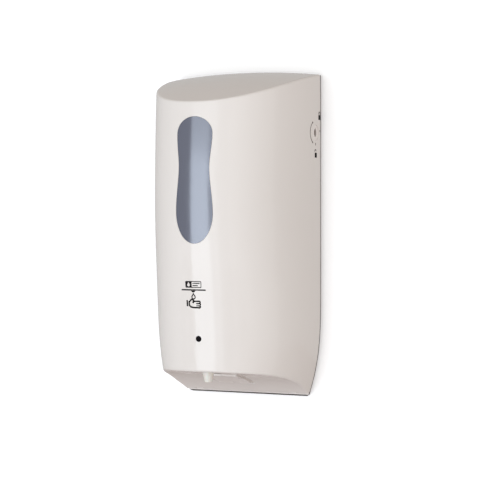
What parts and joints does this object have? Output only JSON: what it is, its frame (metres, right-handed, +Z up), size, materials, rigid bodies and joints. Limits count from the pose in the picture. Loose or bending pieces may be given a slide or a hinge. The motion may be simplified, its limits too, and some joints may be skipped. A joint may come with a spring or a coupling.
{
  "type": "wall mounted soap dispenser",
  "caption": "Wall mounted touch-free soap dispenser: tall rounded glossy cover with a waisted tinted window, scooped underside with nozzle and sensor, hinged at its lower edge.",
  "frame": {"origin": "centre of the four wall screw holes, on the wall face of the back plate", "axes": "+Z up the wall, +X to the right seen from the front, -Y out of the wall towards the user; the wall is y = 0"},
  "size_m": [0.136, 0.1092, 0.2783],
  "materials": {
    "cover_gloss": "glossy warm white moulded shell",
    "window_tint": "smooth blue-grey tinted clear plastic",
    "plate_plastic": "fine matt grey",
    "housing_plastic": "satin off-white",
    "cell_jacket": "printed foil jacket, plain bands",
    "spring_steel": "nickel plated",
    "screw_steel": "zinc plated",
    "board_green": "solder mask",
    "nylon": "natural nylon",
    "chip_black": "black moulding",
    "capacitor_can": "sleeved can",
    "pump_plastic": "grey acetal",
    "motor_can": "bright plated can",
    "silicone": "translucent silicone",
    "nozzle_white": "smooth white",
    "dark_lens": "dark infrared clear plastic",
    "pad_plastic": "satin light plastic",
    "led_red": "tinted diode",
    "seal_rubber": "black nitrile",
    "bottle_clear": "translucent milky polyethylene",
    "lock_plastic": "satin grey-white plug",
    "cap_plastic": "ribbed blue cap",
    "gear_plastic": "white acetal",
    "door_plastic": "satin off-white",
    "slider_plastic": "red switch cap"
  },
  "bodies": {
    "root": {"back_plate": "plate_plastic", "inner_housing": "housing_plastic", "battery_box": "housing_plastic", "battery_cells": "cell_jacket", "battery_springs": "spring_steel", "battery_contacts": "spring_steel", "control_board": "board_green", "board_posts": "nylon", "board_chips": "chip_black", "board_capacitors": "capacitor_can", "board_sockets": "nylon", "power_switch": "chip_black", "housing_screws": "screw_steel", "pump_body": "pump_plastic", "pump_lid": "pump_plastic", "pump_screws": "screw_steel", "motor": "motor_can", "outlet_tube": "silicone", "nozzle": "nozzle_white", "sensor_window": "dark_lens", "sensor_pad": "pad_plastic", "sensor_board": "board_green", "ir_diodes": "dark_lens", "led_board": "board_green", "indicator_led": "led_red", "bottle_dock": "pump_plastic", "dock_seal": "seal_rubber", "inlet_hose": "silicone", "soap_bottle": "bottle_clear"},
    "cover": {"front_cover": "cover_gloss", "window_lens": "window_tint", "indicator_lens": "dark_lens", "hinge_pins": "screw_steel"},
    "lock": {"lock_barrel": "lock_plastic", "lock_cam": "spring_steel", "lock_cam_screw": "screw_steel"},
    "cap": {"refill_cap": "cap_plastic", "cap_seal": "seal_rubber"},
    "drive_gear": {"drive_gear": "gear_plastic"},
    "idler_gear": {"idler_gear": "gear_plastic"},
    "battery_door": {"battery_door": "door_plastic"},
    "power_slider": {"power_slider": "slider_plastic"}
  },
  "joints": [
    {"name": "cover_hinge", "type": "hinge", "parent": "root", "child": "cover", "pos_m": [0, -0.0059, -0.18812], "axis": [1, 0, 0], "range_deg": [0, 95]},
    {"name": "lock_turn", "type": "hinge", "parent": "cover", "child": "lock", "pos_m": [0.062, -0.0129, 0.031], "axis": [-1, 0, 0], "range_deg": [0, 180]},
    {"name": "cap_turn", "type": "hinge", "parent": "root", "child": "cap", "pos_m": [0, -0.05, 0.055], "axis": [0, 0, 1], "range_deg": [0, 90]},
    {"name": "battery_door_slide", "type": "slide", "parent": "root", "child": "battery_door", "axis": [0, 0, 1], "range_m": [0, 0.008]},
    {"name": "power_slide", "type": "slide", "parent": "root", "child": "power_slider", "axis": [0, 0, 1], "range_m": [0, 0.004]},
    {"name": "pump_drive_spin", "type": "hinge", "parent": "root", "child": "drive_gear", "pos_m": [0.007, -0.072, -0.14], "axis": [0, 0, 1], "continuous": true},
    {"name": "pump_idler_spin", "type": "hinge", "parent": "root", "child": "idler_gear", "pos_m": [-0.007, -0.072, -0.14], "axis": [0, 0, 1], "continuous": true}
  ],
  "couplings": [
    {"joint": "pump_idler_spin", "follows": "pump_drive_spin", "ratio": -1}
  ]
}
